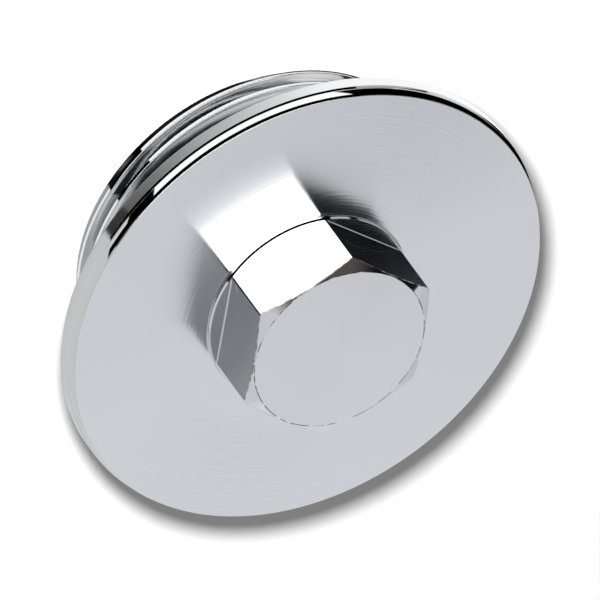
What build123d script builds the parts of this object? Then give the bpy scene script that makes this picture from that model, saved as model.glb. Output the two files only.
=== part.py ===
"""Flanged pipe plug, one brass forging: a hexagon head, a wide round flange and a threaded hollow skirt.

Millimetres, +Z up. The origin is where the screw axis meets the flange's seat.
"""

import math
import os

from build123d import *

# Parallel pipe thread
thread_diameter = 47.8
thread_pitch = 2.309
thread_flank_angle = 27.5
thread_depth_per_pitch = 0.6403
thread_crest_per_pitch = 1 / 6
thread_reach = 14.0
lead_in_length = 1.4
relief_land_pitches = 1.05
relief_undercut = 0.15
thread_start_angle = 302.0

# Round flange
seat_width = 7.6
flange_thickness = 3.3
rim_land_width = 1.9
rim_crown_step = 0.45
seat_chamfer = 0.3

# Hexagon head, milled on a turned boss
hex_across_flats = 23.0
hex_corner_trim = 0.08
head_height = 9.2
ledge_height = 0.55
head_chamfer_inset = 0.15
head_chamfer_angle = 21.5

# Forged recess in the threaded skirt
skirt_wall = 2.9
face_wall = 4.2
recess_draft_angle = 3.0
recess_chamfer = 2.5
mouth_chamfer = 0.4

# Thread cutter
cutter_clearance = 0.2
cutter_run_in_pitches = 1.3

# Levels along the axis
thread_end = -thread_reach
relief_land = relief_land_pitches * thread_pitch
ledge_level = flange_thickness + ledge_height
head_level = flange_thickness + head_height
recess_floor = flange_thickness - face_wall

# Radii
thread_radius = thread_diameter / 2
thread_depth = thread_depth_per_pitch * thread_pitch
root_radius = thread_radius - thread_depth
relief_depth = thread_depth + relief_undercut
relief_radius = thread_radius - relief_depth
flange_radius = thread_radius + seat_width
face_radius = flange_radius - rim_crown_step
boss_radius = hex_across_flats / 2 / math.cos(math.radians(30)) - hex_corner_trim
top_radius = hex_across_flats / 2 - head_chamfer_inset
head_chamfer_drop = (boss_radius - top_radius) * math.tan(math.radians(head_chamfer_angle))
mouth_radius = root_radius - skirt_wall
recess_depth = recess_floor - thread_end
floor_radius = mouth_radius - recess_depth * math.tan(math.radians(recess_draft_angle))

# Thread cutter section
flank_slope = math.tan(math.radians(thread_flank_angle))
groove_half_width = thread_pitch * (1 - thread_crest_per_pitch) / 2
cutter_half_top = groove_half_width + cutter_clearance * flank_slope
cutter_half_root = groove_half_width - thread_depth * flank_slope
cutter_radius = thread_radius + cutter_clearance
cutter_stop = -relief_land / 2
cutter_turns = math.ceil((cutter_stop - thread_end) / thread_pitch + cutter_run_in_pitches)
cutter_start = cutter_stop - cutter_turns * thread_pitch

# One turn of the thread cutter
with BuildPart() as cutter_turn:
    with BuildLine() as turn_path:
        Helix(thread_pitch, thread_pitch, root_radius)
    with BuildSketch(Plane.XZ):
        with BuildLine():
            Polyline(
                (root_radius, -cutter_half_root),
                (cutter_radius, -cutter_half_top),
                (cutter_radius, cutter_half_top),
                (root_radius, cutter_half_root),
                close=True,
            )
        make_face()
    sweep(path=turn_path.line, is_frenet=True)

with BuildPart() as plug_body:
    # Turned blank with its forged recess
    with BuildSketch(Plane.XZ) as half_section:
        with BuildLine():
            Polyline(
                (0, recess_floor),
                (floor_radius, recess_floor),
                (mouth_radius, thread_end),
                (thread_radius, thread_end),
                (thread_radius, 0),
                (flange_radius, 0),
                (flange_radius, rim_land_width),
            )
            TangentArc((flange_radius, rim_land_width), (face_radius, flange_thickness), tangent=(0, 1))
            Polyline(
                (face_radius, flange_thickness),
                (boss_radius, flange_thickness),
                (boss_radius, head_level - head_chamfer_drop),
                (top_radius, head_level),
                (0, head_level),
                (0, recess_floor),
            )
        make_face()
        chamfer(half_section.vertices().sort_by_distance((floor_radius, recess_floor))[0], recess_chamfer)
        chamfer(half_section.vertices().sort_by_distance((mouth_radius, thread_end))[0], mouth_chamfer)
        chamfer(half_section.vertices().sort_by_distance((flange_radius, 0))[0], seat_chamfer)
    revolve(axis=Axis.Z)

    # Six flats milled down to a low round ledge
    with BuildSketch(Plane.XY.offset(ledge_level)):
        Circle(flange_radius)
        RegularPolygon(hex_across_flats / 2, 6, major_radius=False, mode=Mode.SUBTRACT)
    extrude(amount=head_height, mode=Mode.SUBTRACT)

    # Thread groove, cut turn by turn from below the end up into the relief
    for turn in range(cutter_turns):
        with Locations(Location((0, 0, cutter_start + turn * thread_pitch), (0, 0, thread_start_angle))):
            add(cutter_turn.part, mode=Mode.SUBTRACT)

    # Lead-in on the end of the thread
    with BuildSketch(Plane.XZ):
        with BuildLine():
            Polyline(
                (thread_radius - lead_in_length, thread_end),
                (cutter_radius, thread_end),
                (cutter_radius, thread_end + lead_in_length + cutter_clearance),
                close=True,
            )
        make_face()
    revolve(axis=Axis.Z, mode=Mode.SUBTRACT)

    # Relief between the thread and the seat
    with BuildSketch(Plane.XZ):
        with BuildLine():
            Polyline(
                (relief_radius, 0),
                (cutter_radius, 0),
                (cutter_radius, -relief_land - relief_depth - cutter_clearance),
                (relief_radius, -relief_land),
                close=True,
            )
        make_face()
    revolve(axis=Axis.Z, mode=Mode.SUBTRACT)

plug_body.part.label = "plug_body"

os.makedirs("parts", exist_ok=True)
export_step(plug_body.part, "parts/plug_body.step")
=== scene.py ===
# %% [markdown]
# A chrome-plated pipe plug: a hexagon head, a wide round flange and a threaded skirt, forged and turned from one
# piece of brass. The CAD frame gives its size and its place. This lesson lays a finer skin over that frame, with
# the small rounded edges that catch the light, then gives it its plating, and hangs a studio tent round it.

# %% Load the frame
import math

import bmesh
import bpy
import numpy as np
from mathutils import Matrix, Vector


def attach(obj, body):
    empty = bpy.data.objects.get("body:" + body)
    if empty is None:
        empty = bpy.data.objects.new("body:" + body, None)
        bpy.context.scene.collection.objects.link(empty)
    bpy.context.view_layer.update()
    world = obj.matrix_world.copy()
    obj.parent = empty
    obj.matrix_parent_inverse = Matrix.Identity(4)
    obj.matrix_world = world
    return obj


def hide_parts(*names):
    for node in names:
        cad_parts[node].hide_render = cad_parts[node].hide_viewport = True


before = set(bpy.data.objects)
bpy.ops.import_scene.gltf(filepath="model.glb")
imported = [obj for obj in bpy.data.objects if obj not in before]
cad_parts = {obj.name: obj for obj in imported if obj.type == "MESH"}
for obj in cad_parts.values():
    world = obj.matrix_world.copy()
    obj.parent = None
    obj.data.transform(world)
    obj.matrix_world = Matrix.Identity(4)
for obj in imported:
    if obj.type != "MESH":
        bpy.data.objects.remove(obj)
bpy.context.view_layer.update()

# %% [markdown]
# Chrome shows what it mirrors, so the picture depends on the viewpoint as much as on the plug. The plug is seen
# from so far off that parallel edges stay parallel, and an orthographic camera says that. It looks 45 degrees down
# on the flange, and the picture is turned so that the head leans to the lower right. A matrix made of the picture's
# own right, up and towards-the-camera directions is easier to check than stacked rotation angles.

# %% Directions of the picture
MM = 0.001
view_azimuth = math.radians(-83.2)
view_elevation = math.radians(44.9)
picture_turn = math.radians(143.57)


def direction(azimuth, elevation):
    """The unit vector that points to an azimuth and an elevation."""
    return Vector((
        math.cos(elevation) * math.cos(azimuth),
        math.cos(elevation) * math.sin(azimuth),
        math.sin(elevation),
    ))


toward_camera = direction(view_azimuth, view_elevation)
level_right = Vector((-math.sin(view_azimuth), math.cos(view_azimuth), 0))
level_up = toward_camera.cross(level_right)
picture_right = level_right * math.cos(picture_turn) + level_up * math.sin(picture_turn)
picture_up = level_up * math.cos(picture_turn) - level_right * math.sin(picture_turn)
print("towards the camera", [round(c, 3) for c in toward_camera])

# %% The camera
picture_pixels = 600
pixels_per_mm = 8.255
face_centre_pixel = (307.4, 305.8)
face_level = 3.3

aim = Vector((0, 0, face_level * MM))
aim -= picture_right * ((face_centre_pixel[0] - picture_pixels / 2) / pixels_per_mm * MM)
aim += picture_up * ((face_centre_pixel[1] - picture_pixels / 2) / pixels_per_mm * MM)

lens = bpy.data.cameras.new("far_camera")
lens.type = "ORTHO"
lens.ortho_scale = picture_pixels / pixels_per_mm * MM
camera = bpy.data.objects.new("far_camera", lens)
picture_axes = Matrix((picture_right, picture_up, toward_camera)).transposed().to_4x4()
camera.matrix_world = Matrix.Translation(aim + toward_camera) @ picture_axes
bpy.context.scene.collection.objects.link(camera)
bpy.context.scene.camera = camera
bpy.context.scene.view_settings.view_transform = "Standard"
print("picture width in mm", round(lens.ortho_scale / MM, 1))

# %% [markdown]
# The sizes are the solid's own, in millimetres, a few of them rounded to a hundredth. The skin follows the solid and
# only softens the edges that a lathe tool and a polishing mop leave soft.

# %% Sizes of the plug
thread_radius = 23.9
thread_pitch = 2.309
thread_end = -14.0
lead_in = 1.4
relief_radius = 22.27
relief_land = 2.424
flange_radius = 31.5
land_top = 1.9
face_radius = 31.05
hex_half_width = 11.5
boss_radius = 13.2
ledge_level = 3.85
head_level = 12.5
top_radius = 11.35
head_chamfer_slope = math.tan(math.radians(21.5))
recess_floor = -0.9
recess_mouth = 19.52
recess_draft = math.tan(math.radians(3.0))
print("plug", 2 * flange_radius, "mm across and", head_level - thread_end, "mm high")

# %% [markdown]
# Most of the plug was turned, so its skin is made of rings, each worked out from a path of corners in half a section.
# No real corner is sharp. Each corner of the path becomes a short arc of points, and on a mirror finish that arc is
# what draws the thin bright and dark lines. A corner can also say how worn it is, which the plating uses later.

# %% A path with rounded corners
longest_share = 0.45


def rounded_path(corners, steps=4):
    """Corners are (radius, level, rounding, wear). Inner ones become arcs, most worn in the middle of the arc."""
    points = [(*corners[0][:2], 0.0)]
    for before, here, after in zip(corners, corners[1:], corners[2:]):
        a, b, c = (np.array(p[:2], float) for p in (before, here, after))
        into, out = b - a, c - b
        length_in, length_out = np.hypot(*into), np.hypot(*out)
        into, out = into / length_in, out / length_out
        turn = math.acos(max(-1.0, min(1.0, float(into @ out))))
        reach = min(here[2] * math.tan(turn / 2), longest_share * length_in, longest_share * length_out)
        radius = reach / math.tan(turn / 2)
        side = math.copysign(1.0, into[0] * out[1] - into[1] * out[0])
        start = b - into * reach
        hub = start + np.array((-into[1], into[0])) * side * radius
        arm = start - hub
        for k in range(steps + 1):
            swing = turn * k / steps * side
            points.append((
                hub[0] + arm[0] * math.cos(swing) - arm[1] * math.sin(swing),
                hub[1] + arm[0] * math.sin(swing) + arm[1] * math.cos(swing),
                min(1.0, here[3] * math.sin(math.pi * k / steps)),
            ))
    points.append((*corners[-1][:2], 0.0))
    return points


print(len(rounded_path([(0, 1, 0, 0), (1, 1, 0.1, 0), (1, 0, 0, 0)])), "points for one corner")

# %% [markdown]
# The head is a hexagon milled on a round boss, so its rings are not round. Spokes crowd together at the six corners,
# because a corner that is not even a millimetre round needs several points to shine as a thin line. The top edge was
# cut on a lathe as a flat cone, so where it meets the six flats it leaves six shallow arcs. A low round ledge stays
# under the hexagon where the milling cutter stopped.

# %% Spokes for the head
sixth, corner_zone = 60, 1.8
corner_spread = np.linspace(-corner_zone, corner_zone, 11)
flat_spread = np.linspace(corner_zone, sixth - corner_zone, 57)[1:-1]
one_sixth = np.concatenate([corner_spread, flat_spread])
head_spokes = np.radians(np.concatenate([sixth * k + one_sixth for k in range(6)]))
spoke_count = len(head_spokes)
print(spoke_count, "spokes")

# %% Outline of the hexagon
half_sixth = math.radians(sixth / 2)
corner_round = 0.8
inside_boss = 0.01


def hexagon_radius(angle):
    """How far the hexagon reaches at an angle: a flat, or near a corner the corner's own small arc."""
    off_corner = math.radians(abs((math.degrees(angle) + sixth / 2) % sixth - sixth / 2))
    hub = (hex_half_width - corner_round) / math.cos(half_sixth)
    tangent = math.atan2(corner_round * math.sin(half_sixth), hub + corner_round * math.cos(half_sixth))
    if off_corner < tangent:
        radius = hub * math.cos(off_corner) + math.sqrt(corner_round**2 - (hub * math.sin(off_corner)) ** 2)
    else:
        radius = hex_half_width / math.cos(half_sixth - off_corner)
    return min(radius, boss_radius - inside_boss)


print("hexagon reaches", round(hexagon_radius(half_sixth), 2), "to", round(hexagon_radius(0.0), 2), "mm")

# %% Head, from the middle of its top to the flange
middle_radius = 0.4
top_edge_round, top_edge_wear = 0.5, 1.1
chamfer_foot_round, chamfer_foot_wear = 0.13, 1.0
flat_foot_round = 0.15
ledge_edge, ledge_side = boss_radius + 0.01, boss_radius + 0.16
ledge_bevel_drop, ledge_edge_round, ledge_foot_round = 0.26, 0.02, 0.08
face_start = boss_radius + 1.0


def head_path(angle):
    flat = hexagon_radius(angle)
    chamfer_foot = head_level - (flat - top_radius) * head_chamfer_slope
    return rounded_path([
        (middle_radius, head_level, 0, 0),
        (top_radius, head_level, top_edge_round, top_edge_wear),
        (flat, chamfer_foot, chamfer_foot_round, chamfer_foot_wear),
        (flat, ledge_level, flat_foot_round, 0),
        (ledge_edge, ledge_level, ledge_edge_round, 0),
        (ledge_side, ledge_level - ledge_bevel_drop, ledge_edge_round, 0),
        (ledge_side, face_level, ledge_foot_round, 0),
        (face_start, face_level, 0, 0),
    ])


head_rows = np.array([head_path(a) for a in head_spokes]).transpose(1, 0, 2)
print(len(head_rows), "rings on the head")

# %% [markdown]
# The flange is truly round, so from here on the spokes are even. Its rim has two parts: a domed upper half, polished
# with the face, and a plain turned land below it. A fine step between them shows as one dark line in the polish.

# %% Dome of the rim
even_spokes = np.radians((np.arange(spoke_count) - 4) * 360 / spoke_count)
crown_steps = 14
step_width, step_top, step_foot = 0.15, land_top + 0.16, land_top - 0.07
crown_foot = (flange_radius - step_width, step_top)
crown_run, crown_rise = crown_foot[0] - face_radius, face_level - crown_foot[1]
crown_bulge = 0.5 * (crown_run + crown_rise**2 / crown_run)
crown = []
for k in reversed(range(crown_steps)):
    rise = crown_rise * k / crown_steps
    crown.append((crown_foot[0] - crown_bulge + math.sqrt(crown_bulge**2 - rise**2), crown_foot[1] + rise, 0.0))
print("dome of the rim, bulge in mm", round(crown_bulge, 2))

# %% Flange, from its face round the rim to the relief behind the seat
face_middle = 16.0
face_edge_round, step_round, seat_edge_round, relief_round = 0.07, 0.02, 0.3, 0.15

face_edge = rounded_path([
    (face_middle, face_level, 0, 0),
    (face_radius, face_level, face_edge_round, 0),
    (*crown[0][:2], 0, 0),
])[:-1]
rim = rounded_path([
    (*crown[-1][:2], 0, 0),
    (flange_radius, step_foot, step_round, 0),
    (flange_radius, 0, seat_edge_round, 0),
    (relief_radius, 0, relief_round, 0),
    (relief_radius, -relief_land, 0, 0),
])[1:]
flange_rows = np.repeat(np.array(face_edge + crown + rim)[:, None, :], spoke_count, axis=1)
print(len(flange_rows), "rings on the flange")

# %% [markdown]
# A pipe thread has flanks at 27.5 degrees and a rounded root. On this plug the crests were turned flat before the
# plating. The radius is worked out from the distance to the nearest crest along the axis. Rows of points follow the
# helix, so each row stays at one height of the thread form, and the last column joins the first one turn further on.
# At both ends the level is held back at the end face or at the relief, which makes the thread run out as a cut one
# does.

# %% Form of the thread, from a crest to the middle of a root
crest_width, crest_round, root_round = 0.55, 0.12, 0.2
thread_depth = 0.6403 * thread_pitch
flank_slope = math.tan(math.radians(27.5))
half_form = np.array(rounded_path([
    (thread_radius, 0, 0, 0),
    (thread_radius, crest_width / 2, crest_round, 0),
    (thread_radius - thread_depth, crest_width / 2 + thread_depth * flank_slope, root_round, 0),
    (thread_radius - thread_depth, thread_pitch / 2, 0, 0),
]))
turn_offsets = np.concatenate([half_form[:, 1], thread_pitch - half_form[-2:0:-1, 1]])
print("thread depth in mm", round(thread_depth, 2), "with", len(turn_offsets), "rows to a turn")

# %% Thread
crest_level = -11.23
turns_below, turns_made = 3, 8


def thread_point(angle, climb):
    """climb is the level less the helix's own rise, so it stays the same along a crest."""
    rise = thread_pitch * angle / (2 * math.pi)
    climb = max(thread_end - rise, min(-relief_land - rise, climb))
    level = climb + rise
    off_crest = abs((climb - crest_level + thread_pitch / 2) % thread_pitch - thread_pitch / 2)
    radius = float(np.interp(off_crest, half_form[:, 1], half_form[:, 0]))
    radius = min(radius, thread_radius - lead_in + level - thread_end)
    return min(radius, relief_radius - relief_land - level), level, 0.0


first_crest = crest_level - turns_below * thread_pitch
climbs = [first_crest + turn * thread_pitch + offset for turn in range(turns_made) for offset in turn_offsets]
thread_rows = np.array([[thread_point(a, c) for a in even_spokes] for c in climbs])
print(len(thread_rows), "rows along the thread")

# %% [markdown]
# The skirt is hollow, as forged plugs of this kind are, to save brass. The forging die leaves the wall a little
# tapered and the corner of the floor well rounded.

# %% Recess in the threaded end
mouth_round, floor_round = 0.4, 3.0
end_radius = thread_radius - lead_in
floor_edge = recess_mouth - (recess_floor - thread_end) * recess_draft
recess_path = rounded_path([
    (end_radius, thread_end, 0, 0),
    (recess_mouth, thread_end, mouth_round, 0),
    (floor_edge, recess_floor, floor_round, 0),
    (middle_radius, recess_floor, 0, 0),
], steps=6)
recess_rows = np.repeat(np.array(recess_path)[:, None, :], spoke_count, axis=1)
recess_rows[0] = [thread_point(a, first_crest) for a in even_spokes]
print(len(recess_rows), "rings inside")

# %% [markdown]
# All rings go into one closed mesh, and each strip of it gets the finish that its tool left: the flats and roundings
# are polished, the top, the ledge and the flange's face are turned, the land is satin. The finish could be painted
# by hand afterwards. Choosing it by where the strip lies keeps it right when a size changes.

# %% Finish by place
finishes = ["polished_plating", "turned_plating", "satin_land", "plated_thread", "dull_shaded_seat", "forged_recess"]
flat_within, face_within, seat_within = 0.0005, 0.005, 0.001
off_ledge, off_edge, off_relief = 0.1, 0.01, 0.2


def finish_at(radius, level):
    on_face = abs(level - face_level) < face_within and radius > ledge_side + off_ledge
    if level > head_level - flat_within or abs(level - ledge_level) < flat_within or on_face:
        return "turned_plating"
    if radius > flange_radius - off_edge and level > seat_edge_round + off_edge:
        return "satin_land"
    if radius > relief_radius + off_relief and abs(level) < seat_within:
        return "dull_shaded_seat"
    return "polished_plating" if level > 0 else "plated_thread"


print("middle of the face:", finish_at(face_middle, face_level))

# %% Rows of points and strips of faces
skin_points, skin_wear, skin_faces, skin_finish = [], [], [], []


def add_rows(rows, angles):
    first = len(skin_points)
    for row in rows:
        for angle, (radius, level, wear) in zip(angles, row):
            skin_points.append((radius * MM * math.cos(angle), radius * MM * math.sin(angle), level * MM))
            skin_wear.append(wear)
    return first


def add_strip(first, second, finish, step=0):
    """Quads between two rings. step is how much later the helix comes round to the first column again."""
    for k in range(spoke_count):
        n, later = (k + 1, 0) if k + 1 < spoke_count else (0, step)
        skin_faces.append((first + k, second + k, second + later + n, first + later + n))
        skin_finish.append(finishes.index(finish))


def add_lid(ring, finish):
    skin_faces.append(tuple(ring))
    skin_finish.append(finishes.index(finish))


# %% Strips of the head, the flange, the thread and the recess
head_first = add_rows(head_rows, head_spokes)
add_rows(flange_rows, even_spokes)
outline_rows = np.concatenate([head_rows, flange_rows])
for row in range(len(outline_rows) - 1):
    radius, level = np.mean(outline_rows[row:row + 2], axis=(0, 1))[:2]
    start = head_first + row * spoke_count
    add_strip(start, start + spoke_count, finish_at(radius, level))
add_lid(range(head_first, head_first + spoke_count), "turned_plating")

thread_first = add_rows(thread_rows, even_spokes)
turn_step = len(turn_offsets) * spoke_count
for row in range(len(thread_rows) - len(turn_offsets) - 1):
    start = thread_first + row * spoke_count
    add_strip(start + spoke_count, start, "plated_thread", turn_step)

recess_first = add_rows(recess_rows, even_spokes)
for row in range(len(recess_rows) - 1):
    start = recess_first + row * spoke_count
    add_strip(start, start + spoke_count, "plated_thread" if row < 1 else "forged_recess")
last = recess_first + (len(recess_rows) - 1) * spoke_count
add_lid(reversed(range(last, last + spoke_count)), "forged_recess")
print(len(skin_points), "points and", len(skin_faces), "faces before merging")

# %% [markdown]
# Rows that the thread's ends squeezed together lie on top of each other. They are merged, and the faces that lost
# their width go with them. The count of open edges then shows that the skin is shut, as a solid's has to be.

# %% One closed skin
merge_distance = 2e-7
skin = bpy.data.meshes.new("plug_skin")
skin.from_pydata(skin_points, [], skin_faces)
skin.polygons.foreach_set("material_index", skin_finish)
skin.attributes.new("wear", "FLOAT", "POINT").data.foreach_set("value", skin_wear)
shape = bmesh.new()
shape.from_mesh(skin)
bmesh.ops.remove_doubles(shape, verts=shape.verts, dist=merge_distance)
bmesh.ops.dissolve_degenerate(shape, edges=shape.edges, dist=merge_distance)
bmesh.ops.delete(shape, geom=[v for v in shape.verts if not v.link_faces], context="VERTS")
bmesh.ops.recalc_face_normals(shape, faces=shape.faces)
print("open edges", sum(len(e.link_faces) != 2 for e in shape.edges), "faces", len(shape.faces))
shape.to_mesh(skin)
shape.free()
plug = bpy.data.objects.new("plug_skin", skin)
bpy.context.scene.collection.objects.link(plug)

# %% [markdown]
# Smooth shading averages the normals of the faces round a point, so a wide flat face next to a tiny rounding would be
# shaded as if it were bent, and a mirror shows that at once. Weighting each face by the square of its area lets the
# wide faces win, and leaves the bending to the rounding.

# %% Normals led by the wide faces
skin.shade_smooth()
face_area = np.empty(len(skin.polygons))
face_normal = np.empty(len(skin.polygons) * 3)
corner_count = np.empty(len(skin.polygons), dtype=int)
corner_point = np.empty(len(skin.loops), dtype=int)
skin.polygons.foreach_get("area", face_area)
skin.polygons.foreach_get("normal", face_normal)
skin.polygons.foreach_get("loop_total", corner_count)
skin.loops.foreach_get("vertex_index", corner_point)
square_mm = face_area[:, None] / MM**2
pull = np.repeat(face_normal.reshape(-1, 3) * square_mm**2, corner_count, axis=0)
point_normal = np.zeros((len(skin.vertices), 3))
np.add.at(point_normal, corner_point, pull)
point_normal /= np.linalg.norm(point_normal, axis=1, keepdims=True)
skin.normals_split_custom_set_from_vertices(point_normal)
print("normals set on", len(point_normal), "points")

# %% [markdown]
# Effects that several finishes share are node groups with named inputs. They are built from a few small helpers: one
# makes a node, one makes a maths node and links or sets what it is given, and one starts a group with its sockets.


# %% Helpers for node trees
def node(tree, kind, **settings):
    made = tree.nodes.new(kind)
    for key, value in settings.items():
        setattr(made, key, value)
    return made


def maths(tree, operation, *values, clamp=False):
    """A maths node. A value that is a socket is linked, and a number is set."""
    made = node(tree, "ShaderNodeMath", operation=operation, use_clamp=clamp)
    for socket, value in zip(made.inputs, values):
        if isinstance(value, bpy.types.NodeSocket):
            tree.links.new(value, socket)
        else:
            socket.default_value = value
    return made.outputs[0]


def new_group(name, inputs, outputs):
    group = bpy.data.node_groups.new(name, "ShaderNodeTree")
    for label, value in inputs.items():
        group.interface.new_socket(label, in_out="INPUT", socket_type="NodeSocketFloat").default_value = value
    for label in outputs:
        group.interface.new_socket(label, in_out="OUTPUT", socket_type="NodeSocketFloat")
    print("group", name, "gives", outputs)
    return group, node(group, "NodeGroupInput"), node(group, "NodeGroupOutput")


# %% Helpers for places on the plug
def place_of(tree):
    return node(tree, "ShaderNodeTexCoord").outputs["Object"]


def across_axis(tree):
    """The place in plan: x and y, with the level taken out."""
    plan = node(tree, "ShaderNodeVectorMath", operation="MULTIPLY")
    plan.inputs[1].default_value = (1, 1, 0)
    tree.links.new(place_of(tree), plan.inputs[0])
    return plan.outputs["Vector"]


def length_of(tree, vector):
    length = node(tree, "ShaderNodeVectorMath", operation="LENGTH")
    tree.links.new(vector, length.inputs[0])
    return length.outputs["Value"]


# %% [markdown]
# Plating is never quite even. A soft noise moves the gloss a little from place to place, and the same noise gives a
# height for a bump. Gloss and height come out of one group, so they belong together as they do on metal.

# %% Group: unevenness of the plating
uneven, given, gives = new_group(
    "plating_unevenness", {"Scale": 160.0, "Roughness": 0.05, "Spread": 0.02}, ["Roughness", "Height"]
)
wave = node(uneven, "ShaderNodeTexNoise")
wave.inputs["Detail"].default_value = 2.0
uneven.links.new(place_of(uneven), wave.inputs["Vector"])
uneven.links.new(given.outputs["Scale"], wave.inputs["Scale"])
centred = maths(uneven, "SUBTRACT", wave.outputs["Fac"], 0.5)
varied = maths(uneven, "MULTIPLY_ADD", centred, given.outputs["Spread"], given.outputs["Roughness"])
uneven.links.new(varied, gives.inputs["Roughness"])
uneven.links.new(wave.outputs["Fac"], gives.inputs["Height"])

# %% [markdown]
# A lathe tool leaves fine rings on a face. They could be modelled, but they are shallower than a hundredth of a
# millimetre, so a bump does it: noise that depends on the distance from the axis alone. The flange shows them and
# the head's top hardly does, so they start outside the head. The land of the rim has fine lines along the axis
# instead, as an abrasive belt leaves them. They come from noise in plan, which is the same at every level.

# %% Group: rings left by the lathe tool
rings, given, gives = new_group("turning_rings", {"Rings per metre": 2600.0, "Inner radius": 0.0133}, ["Height"])
from_axis = length_of(rings, across_axis(rings))
ring_noise = node(rings, "ShaderNodeTexNoise", noise_dimensions="1D")
ring_noise.inputs["Detail"].default_value = 0.6
rings.links.new(from_axis, ring_noise.inputs["W"])
rings.links.new(given.outputs["Rings per metre"], ring_noise.inputs["Scale"])
outside = maths(rings, "GREATER_THAN", from_axis, given.outputs["Inner radius"])
rings.links.new(maths(rings, "MULTIPLY", ring_noise.outputs["Fac"], outside), gives.inputs["Height"])

# %% Group: fine lines along the axis
lines, given, gives = new_group("axial_lines", {"Lines per metre": 3000.0}, ["Height"])
line_noise = node(lines, "ShaderNodeTexNoise")
line_noise.inputs["Detail"].default_value = 2.0
lines.links.new(across_axis(lines), line_noise.inputs["Vector"])
lines.links.new(given.outputs["Lines per metre"], line_noise.inputs["Scale"])
lines.links.new(line_noise.outputs["Fac"], gives.inputs["Height"])

# %% [markdown]
# Plating thins first on a sharp edge, in spots, and the brass under it goes brown. The mesh knows its edges from the
# wear that each corner was given, and noise above a least value breaks that wear into spots. Other marks go by the
# distance from the axis: painted shade in the corner behind the seat and in the roots of the thread, and a finer gloss
# on the flange near the head. One fade between two radii serves all three.

# %% Group: worn edges
worn, given, gives = new_group("worn_edges", {"Wear": 0.0, "Spots per metre": 1000.0, "Least": 0.43}, ["Mask"])
spot_sharpness = 9.0
spots = node(worn, "ShaderNodeTexNoise")
spots.inputs["Detail"].default_value = 4.0
worn.links.new(place_of(worn), spots.inputs["Vector"])
worn.links.new(given.outputs["Spots per metre"], spots.inputs["Scale"])
over = maths(worn, "SUBTRACT", spots.outputs["Fac"], given.outputs["Least"])
steep = maths(worn, "MULTIPLY", over, spot_sharpness, clamp=True)
worn.links.new(maths(worn, "MULTIPLY", steep, given.outputs["Wear"], clamp=True), gives.inputs["Mask"])

# %% Group: fade from the inside out
inward, given, gives = new_group("inward_fade", {"Full radius": 0.0238, "Clear radius": 0.0250}, ["Mask"])
fade = node(inward, "ShaderNodeMapRange", interpolation_type="SMOOTHSTEP")
inward.links.new(length_of(inward, across_axis(inward)), fade.inputs["Value"])
inward.links.new(given.outputs["Full radius"], fade.inputs["From Min"])
inward.links.new(given.outputs["Clear radius"], fade.inputs["From Max"])
fade.inputs["To Min"].default_value = 1.0
fade.inputs["To Max"].default_value = 0.0
inward.links.new(fade.outputs["Result"], gives.inputs["Mask"])

# %% [markdown]
# Chrome plating is a mirror with a very slightly cool grey. Every finish here is that one metal, and only the gloss
# and the fine relief change with the tool that went over the brass before plating, so one function makes them all.

# %% Plating
chrome_colour = (0.80, 0.805, 0.815, 1.0)


def plating(name, roughness, spread, scale, bump):
    """The metal with its unevenness. Gives back its tree, its shader, its surface and its bump, for more effects."""
    finish = bpy.data.materials.new(name)
    finish.use_nodes = True
    tree = finish.node_tree
    shader = tree.nodes["Principled BSDF"]
    shader.inputs["Base Color"].default_value = chrome_colour
    shader.inputs["Metallic"].default_value = 1.0
    surface = node(tree, "ShaderNodeGroup", node_tree=uneven)
    surface.inputs["Scale"].default_value = scale
    surface.inputs["Roughness"].default_value = roughness
    surface.inputs["Spread"].default_value = spread
    tree.links.new(surface.outputs["Roughness"], shader.inputs["Roughness"])
    relief = node(tree, "ShaderNodeBump")
    relief.inputs["Distance"].default_value = bump
    tree.links.new(surface.outputs["Height"], relief.inputs["Height"])
    tree.links.new(relief.outputs["Normal"], shader.inputs["Normal"])
    skin.materials.append(finish)
    print("finish", name, "with roughness", roughness)
    return tree, shader, surface, relief


def add_relief(tree, shader, relief, group, depth):
    """A second bump from a group's height, on top of the first."""
    pattern = node(tree, "ShaderNodeGroup", node_tree=group)
    more = node(tree, "ShaderNodeBump")
    more.inputs["Distance"].default_value = depth
    tree.links.new(pattern.outputs["Height"], more.inputs["Height"])
    tree.links.new(relief.outputs["Normal"], more.inputs["Normal"])
    tree.links.new(more.outputs["Normal"], shader.inputs["Normal"])


def stain(tree, shader, mask, colour):
    """The metal's colour, going over to another one where the mask is."""
    blend = node(tree, "ShaderNodeMix", data_type="RGBA")
    blend.inputs["A"].default_value = chrome_colour
    blend.inputs["B"].default_value = colour
    tree.links.new(mask, blend.inputs["Factor"])
    tree.links.new(blend.outputs["Result"], shader.inputs["Base Color"])


def inward_mask(tree, full_radius, clear_radius):
    fading = node(tree, "ShaderNodeGroup", node_tree=inward)
    fading.inputs["Full radius"].default_value = full_radius
    fading.inputs["Clear radius"].default_value = clear_radius
    return fading.outputs["Mask"]


# %% [markdown]
# The flats and the roundings were polished before plating, so they are nearly mirrors. The edges of the head have
# lost their plating in spots. Strokes painted by hand would show that too, but a mask from the mesh's own wear finds
# the edges by itself.

# %% Polished flats and edges, with worn spots
bare_brass_brown = (0.09, 0.06, 0.045, 1.0)
tree, shader, surface, relief = plating("polished_plating", roughness=0.05, spread=0.03, scale=120, bump=0.000002)
edge = node(tree, "ShaderNodeAttribute", attribute_name="wear")
worn_spots = node(tree, "ShaderNodeGroup", node_tree=worn)
tree.links.new(edge.outputs["Fac"], worn_spots.inputs["Wear"])
stain(tree, shader, worn_spots.outputs["Mask"], bare_brass_brown)

# %% [markdown]
# On the turned faces the gloss is stretched: a lathe's rings scatter light across themselves, towards and away from
# the axis, and hardly along. Anisotropy with a tangent that runs round the axis gives that. It feathers the far end
# of the head's mirror image on the flange and keeps its sides crisp.

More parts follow.
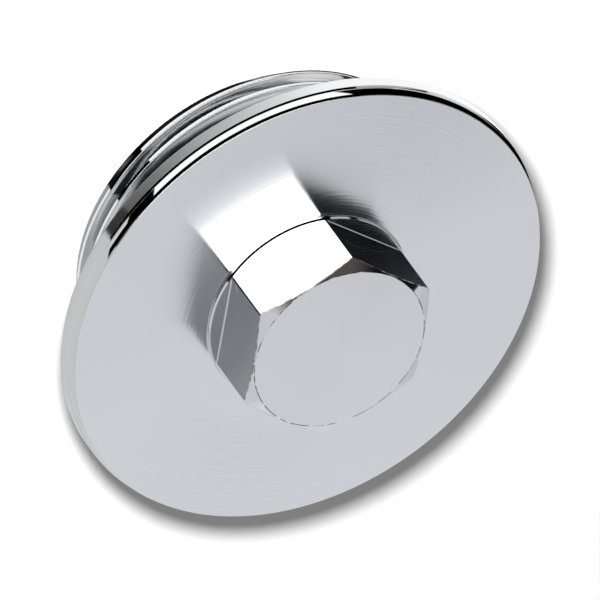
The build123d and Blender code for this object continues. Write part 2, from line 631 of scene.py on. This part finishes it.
# %% Turned faces
finer_near_head = -0.055
tree, shader, surface, relief = plating("turned_plating", roughness=0.172, spread=0.035, scale=1500, bump=0.000002)
near_head = inward_mask(tree, full_radius=0.0145, clear_radius=0.0205)
finer = maths(tree, "MULTIPLY_ADD", near_head, finer_near_head, surface.outputs["Roughness"])
tree.links.new(finer, shader.inputs["Roughness"])
shader.inputs["Anisotropic"].default_value = 0.97
shader.inputs["Anisotropic Rotation"].default_value = 0.25
around = node(tree, "ShaderNodeTangent", direction_type="RADIAL", axis="Z")
tree.links.new(around.outputs["Tangent"], shader.inputs["Tangent"])
add_relief(tree, shader, relief, rings, depth=0.000005)

# %% [markdown]
# The land of the rim is satin. The roots of the thread are greyer than the crests, as painted shade for the depths
# between the turns. Nobody polishes the seat or the recess: the seat is dull, and its corner behind the flange is
# painted black as shade. The recess keeps the grain of the forging. Each is the same plating with other numbers.

# %% Land of the rim, thread, seat and recess
# Both colours are painted shade: grey for the roots of the thread, black for the corner behind the seat.
root_shade_grey = (0.42, 0.42, 0.43, 1.0)
seat_shade_black = (0.02, 0.02, 0.02, 1.0)
tree, shader, surface, relief = plating("satin_land", roughness=0.12, spread=0.05, scale=500, bump=0.000002)
add_relief(tree, shader, relief, lines, depth=0.000002)
tree, shader, surface, relief = plating("plated_thread", roughness=0.06, spread=0.04, scale=300, bump=0.000003)
# Painted shade: the thread goes grey towards its roots.
stain(tree, shader, inward_mask(tree, full_radius=0.0226, clear_radius=0.0236), root_shade_grey)
# Painted shade: the seat goes black in its corner, towards the relief.
tree, shader, surface, relief = plating("dull_shaded_seat", roughness=0.34, spread=0.1, scale=400, bump=0.00001)
stain(tree, shader, inward_mask(tree, full_radius=0.0238, clear_radius=0.0250), seat_shade_black)
plating("forged_recess", roughness=0.34, spread=0.1, scale=700, bump=0.00004)

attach(plug, "root")
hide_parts("plug_body")

# %% [markdown]
# Chrome is photographed in a white tent. What the plug mirrors is the tent, so black panels hang in it to draw the
# dark faces and lines, and one bright panel beside the camera lights the front flat. The world is the tent's cloth: a
# white that the camera and mirror rays see, and much less of it as light on the floor, so the shadow stays.


# %% Tent
def seen_directly(tree):
    """1 for rays that look at a thing, straight or by mirror or glass, and 0 for rays that only bring its light."""
    ray = node(tree, "ShaderNodeLightPath")
    first = maths(tree, "MAXIMUM", ray.outputs["Is Camera Ray"], ray.outputs["Is Glossy Ray"])
    return maths(tree, "MAXIMUM", first, ray.outputs["Is Transmission Ray"])


cloth_light, cloth_white = 0.15, 1.0
tent = bpy.data.worlds.new("white_tent")
bpy.context.scene.world = tent
tent.use_nodes = True
cloth = tent.node_tree.nodes["Background"]
cloth.inputs["Color"].default_value = (1, 1, 1, 1)
strength = node(tent.node_tree, "ShaderNodeMapRange")
strength.inputs["To Min"].default_value = cloth_light
strength.inputs["To Max"].default_value = cloth_white
tent.node_tree.links.new(seen_directly(tent.node_tree), strength.inputs["Value"])
tent.node_tree.links.new(strength.outputs["Result"], cloth.inputs["Strength"])
print("tent looks", cloth_white, "and lights", cloth_light)

# %% [markdown]
# A panel is a sheet that mirrors see and the camera does not. Its brightness is painted on its points, so one
# material serves all panels and a panel can fade from side to side. Wall panels are placed by azimuth and elevation.
# Cards on the floor are placed by what the round plug mirrors there: the angle round the plug from the camera's side,
# and the way out from the metal along the mirrored ray. In those terms a line on the rim is a straight edge of a card.

# %% Paint of the panels
glow_paint = bpy.data.materials.new("tent_panels")
glow_paint.use_nodes = True
tree = glow_paint.node_tree
tree.nodes.remove(tree.nodes["Principled BSDF"])
glow = node(tree, "ShaderNodeEmission")
painted = node(tree, "ShaderNodeAttribute", attribute_name="glow")
tree.links.new(painted.outputs["Color"], glow.inputs["Color"])
tree.links.new(glow.outputs[0], tree.nodes["Material Output"].inputs["Surface"])
print("paint", glow_paint.name)

# %% Hanging a sheet
sheet_columns, sheet_lines = 32, 24


def hang(name, place, first, second, glow):
    """A curved sheet. place turns two measures into a point, and glow gives the colour there."""
    points, colours, faces = [], [], []
    for b in np.linspace(*second, sheet_lines + 1):
        for a in np.linspace(*first, sheet_columns + 1):
            points.append(place(a, b))
            colours.extend((*glow(a, b), 1.0))
    for j in range(sheet_lines):
        for i in range(sheet_columns):
            k = j * (sheet_columns + 1) + i
            faces.append((k, k + 1, k + sheet_columns + 2, k + sheet_columns + 1))
    sheet = bpy.data.meshes.new(name)
    sheet.from_pydata(points, [], faces)
    sheet.attributes.new("glow", "FLOAT_COLOR", "POINT").data.foreach_set("color", colours)
    sheet.materials.append(glow_paint)
    hung = bpy.data.objects.new(name, sheet)
    bpy.context.scene.collection.objects.link(hung)
    hung.visible_camera = False
    hung.visible_diffuse = False
    hung.visible_shadow = False
    print("hung", name)


# %% Places for wall panels, floor cards and the ring round the foot
def panel(name, azimuths, elevations, glow, distance=0.5):
    def place(azimuth, elevation):
        return direction(math.radians(azimuth), math.radians(elevation)) * distance
    hang(name, place, azimuths, elevations, glow)


def floor_card(name, turns, reaches, glow, mirror_radius=flange_radius, lift=0.2):
    def place(turn, reach):
        normal = view_azimuth + math.radians(turn)
        mirrored = view_azimuth + 2 * math.radians(turn)
        return (
            (mirror_radius * math.cos(normal) + reach * math.cos(mirrored)) * MM,
            (mirror_radius * math.sin(normal) + reach * math.sin(mirrored)) * MM,
            (thread_end + lift) * MM,
        )
    hang(name, place, turns, reaches, glow)


def upright_ring(name, turns, levels, glow, radius):
    def place(turn, level):
        a = view_azimuth + math.radians(turn)
        return (radius * MM * math.cos(a), radius * MM * math.sin(a), level * MM)
    hang(name, place, turns, levels, glow)


# %% Brightness that is plain or runs from stop to stop
no_tint = (1.0, 1.0, 1.0)


def tinted(level, tint=no_tint):
    return tuple(level * t for t in tint)


def between(measure, stops, levels):
    return float(np.interp(measure, stops, levels))


def plain(level, tint=no_tint):
    """The same brightness all over a sheet."""
    return lambda a, b: tinted(level, tint)


def ramp(stops, levels):
    """Brightness that runs from stop to stop along the first measure."""
    return lambda a, b: tinted(between(a, stops, levels))


black = plain(0.0)
# Painted shade: the dark that the thread mirrors in its grooves and at its foot.
shade_dark = plain(0.02)
mid_grey = plain(0.66)
print("mid grey", mid_grey(0, 0))

# %% [markdown]
# The back wall is what the flange mirrors, a cool grey that is lightest a little below the camera's height. Above it
# the tent goes over into a dark, slightly warm tone. The black side wall has a little of that warmth too, and a
# narrow strip in front fades in, so that the dark on the rim ends softly.

# %% Brightness of the back wall and of the top
wall_grey, wall_middle, side_end = 0.68, 97, 60
fall_per_degree, fall_within = 0.008, 10
cool_tint, bluish_tint = (0.995, 1.0, 1.05), (0.95, 1.0, 1.06)
warm_tint, brown_tint = (1.03, 1.0, 0.99), (1.1, 0.98, 0.92)


def back_wall(azimuth, elevation):
    """Plain grey at the side. Opposite the camera it has a light band that falls off a little along the wall."""
    level = wall_grey
    if azimuth >= side_end:
        level = between(elevation, (28, 38, 41.5, 45, 48.5, 52), (0.68, 0.92, 0.84, 0.72, 0.66, 0.64))
        level += fall_per_degree * max(-fall_within, min(fall_within, wall_middle - azimuth))
    return tinted(level, cool_tint)


def fading_top(azimuth, elevation):
    return tinted(between(elevation, (77, 86), (wall_grey, 0.08)), warm_tint)


print("opposite the camera the wall is", [round(c, 2) for c in back_wall(wall_middle, math.degrees(view_elevation))])

# %% Brightness of the side and of the front
side_black, side_warmth = (0.006, 0.007, 0.009), (0.09, 0.08, 0.072)


def warm_side(azimuth, elevation):
    warm = between(elevation, (56, 65, 74, 80), (0, 1, 1, 0.4)) * between(azimuth, (140, 155, 170, 190), (0, 1, 1, 0))
    return tuple(dark + warmth * warm for dark, warmth in zip(side_black, side_warmth))


def fading_front(azimuth, elevation):
    return tinted(between(elevation, (-1, 8, 9.5, 11), (0, 0.45, 0.45, 0)) * between(azimuth, (301, 315), (0, 1)))


print("the warmest of the side is", [round(c, 3) for c in warm_side(160, 70)])

# %% Walls of the tent
panel("back_wall", (-38, 133), (-1.7, 89), back_wall, distance=0.52)
panel("side_grey", (0, 40), (33, 51), plain(0.26, bluish_tint))
panel("black_back", (117, 133), (-1.7, 12), black)
panel("black_side", (133, 210), (-1.7, 89), warm_side)
panel("black_flat", (118, 133), (36, 57), plain(0.008), distance=0.49)
panel("black_front", (210, 300), (-1.7, 36), black)
panel("front_fade", (300, 322.6), (-1.7, 36), fading_front)
panel("brown_top", (-38, 133), (77, 89.9), fading_top, distance=0.47)
panel("brown_front", (133, 322), (80, 89.9), plain(0.08, brown_tint), distance=0.47)
panel("bright_front", (210, 318), (31, 75), plain(3.2), distance=0.48)
panel("black_corner", (318, 358), (24, 62), black)
panel("side_slit", (135, 210), (2, 20), plain(0.5), distance=0.48)
panel("side_gap", (135, 182), (-1.7, 2), plain(0.8), distance=0.48)

# %% [markdown]
# The thread and the rim mirror the floor close to the plug. White cards there light the crests, dark ones are painted
# shade for the grooves between them, and a low dark ring and card round the foot are painted contact shadow, which
# draws the plug's lower edge against the white paper. The cards further out are what the dome and the land of the rim
# mirror: a bright window in the middle, black beside it.

# %% Brightness of the floor cards
far_white, groove_shade, flank_grey, groove_limit = 0.9, 0.02, 0.45, 8.2


def far_light(turn, reach):
    """Black as far as the dome of the rim mirrors, and white beyond it, where only the step below the dome looks."""
    black_end = between(turn, (-88, -62, -56, -48), (60, 85, 100, 180))
    return tinted(0.0 if reach < black_end else far_white)


def flank_light(turn, reach):
    """Painted shade for the depths of the thread, in strips between the light that its flanks and the seat's edge
    mirror.
    """
    groove_end = between(turn, (-45, -30, -15, 0, 12, 16), (0.3, 1.9, 0.9, 0.3, 0.6, 9.0))
    gap_start = between(turn, (-27, -15, 0, 12, 16), (5.0, 3.6, 3.2, 2.5, 0.3))
    gap_end = between(turn, (-27, -15, 0, 20), (5.0, 5.0, 4.9, groove_limit))
    if reach < min(groove_end, groove_limit) or gap_start < reach < gap_end:
        return tinted(groove_shade)
    if reach < gap_start:
        return tinted(flank_grey)
    return tinted(between(turn, (-50, -35, 0, 27), (1.25, 0.95, 0.62, 0.5)))


land_light = ramp((-35, -20, 0, 10, 19), (1.14, 0.76, 0.38, 0.2, 0.12))
crest_white = plain(1.14)
print("the land's light towards the camera is", land_light(0, 0))

# %% Cards that the thread mirrors
# Painted shade: the dark ring and the contact card stand for the contact shadow, the other dark cards for shade in the
# grooves.
upright_ring("foot_ring", (-85, 27), (thread_end, thread_end + 0.7), shade_dark, radius=24.6)
floor_card("contact", (-85, 85), (-1.3, 2.1), shade_dark, thread_radius, lift=0.04)
floor_card("low_crest_white", (-85, 12), (1.8, 2.65), crest_white, thread_radius)
floor_card("crest_gap", (-85, 12), (2.65, 3.95), shade_dark, thread_radius)
floor_card("high_crest_white", (-85, 12), (3.95, 5.2), crest_white, thread_radius)
floor_card("thread_dark", (12, 27), (1.8, 5.2), black, thread_radius)
floor_card("thread_grey", (27, 85), (1.8, 5.2), plain(0.95), thread_radius)
floor_card("thread_edge", (-85, 27), (5.2, 7.7), shade_dark, thread_radius)
floor_card("rim_foot", (-88, 32), (0.3, 13), flank_light, lift=0.25)
floor_card("foot_grey", (27, 88), (0.5, 13), plain(0.4))

# %% Cards that the rim mirrors
floor_card("land_front", (-88, 20), (13, 19), land_light)
floor_card("land_dark", (20, 27), (13, 19), plain(0.015))
floor_card("land_grey", (27, 88), (13, 19), mid_grey)
floor_card("window", (-34, 11.5), (19, 80), plain(1.3))
floor_card("window_dark", (-34, 11.5), (80, 505), black)
floor_card("side_foot", (-88, -48), (19, 20.3), plain(1.05))
floor_card("side_dark", (-88, -48), (20.3, 60), black)
floor_card("side_far", (-88, -48), (60, 505), far_light)
floor_card("window_side", (-48, -34), (19, 505), black)
floor_card("corner_dark", (11.5, 20), (19, 40), black)
floor_card("corner_light", (20, 26.5), (19, 40), plain(0.75))
floor_card("corner_far", (11.5, 26.5), (40, 505), black)
floor_card("side_light", (26.5, 88), (19, 505), mid_grey)

# %% [markdown]
# The floor is plain white paper. A faint glow of it stands for the light that a tent fills in. A sheet with an end
# would show a line across the picture, so the paper fades into the tent's white, well outside the shadow. From below
# it is clear, so the recess can be looked at too.

# %% Floor
under_foot, half_side = 0.02, 3
floor_corners = [(half_side * x, half_side * y, 0) for x, y in ((-1, -1), (1, -1), (1, 1), (-1, 1))]
floor_sheet = bpy.data.meshes.new("floor")
floor_sheet.from_pydata(floor_corners, [], [(0, 1, 2, 3)])
floor = bpy.data.objects.new("floor", floor_sheet)
floor.location.z = (thread_end - under_foot) * MM
bpy.context.scene.collection.objects.link(floor)
print("floor at", thread_end - under_foot, "mm")

# %% White paper
paper_glow, fade_start, fade_end = 0.09, 0.085, 0.15
paper = bpy.data.materials.new("white_paper")
paper.use_nodes = True
tree = paper.node_tree
matt = tree.nodes["Principled BSDF"]
matt.inputs["Base Color"].default_value = (0.8, 0.8, 0.8, 1)
matt.inputs["Roughness"].default_value = 0.9
matt.inputs["Specular IOR Level"].default_value = 0.0
matt.inputs["Emission Color"].default_value = (1, 1, 1, 1)
tree.links.new(maths(tree, "MULTIPLY", seen_directly(tree), paper_glow), matt.inputs["Emission Strength"])

outer = node(tree, "ShaderNodeMapRange", interpolation_type="SMOOTHSTEP")
outer.inputs["From Min"].default_value = fade_start
outer.inputs["From Max"].default_value = fade_end
tree.links.new(length_of(tree, place_of(tree)), outer.inputs["Value"])
side = node(tree, "ShaderNodeNewGeometry")
clear = node(tree, "ShaderNodeBsdfTransparent")
cover = node(tree, "ShaderNodeMixShader")
tree.links.new(maths(tree, "MAXIMUM", side.outputs["Backfacing"], outer.outputs["Result"]), cover.inputs[0])
tree.links.new(matt.outputs[0], cover.inputs[1])
tree.links.new(clear.outputs[0], cover.inputs[2])
tree.links.new(cover.outputs[0], tree.nodes["Material Output"].inputs["Surface"])
floor_sheet.materials.append(paper)
print("paper fades from", fade_start, "to", fade_end, "m")

# %% [markdown]
# One lamp throws the shadow. It stands on the camera's side and a little lower than the camera, so the shadow shows
# as a narrow soft edge past the far side of the flange. Mirrors do not see the lamp, because the tent's panels
# already draw everything that they show.

# %% Key lamp
key_azimuth, key_elevation = math.radians(-84.5), math.radians(41.4)
lamp = bpy.data.lights.new("key", "AREA")
lamp.shape = "DISK"
lamp.size = 0.095
lamp.energy = 17.8
key = bpy.data.objects.new("key", lamp)
key.location = direction(key_azimuth, key_elevation)
key.rotation_mode = "QUATERNION"
key.rotation_quaternion = key.location.to_track_quat("Z", "Y")
key.visible_glossy = False
key.visible_camera = False
bpy.context.scene.collection.objects.link(key)
print("key lamp of", round(lamp.energy, 1), "W")
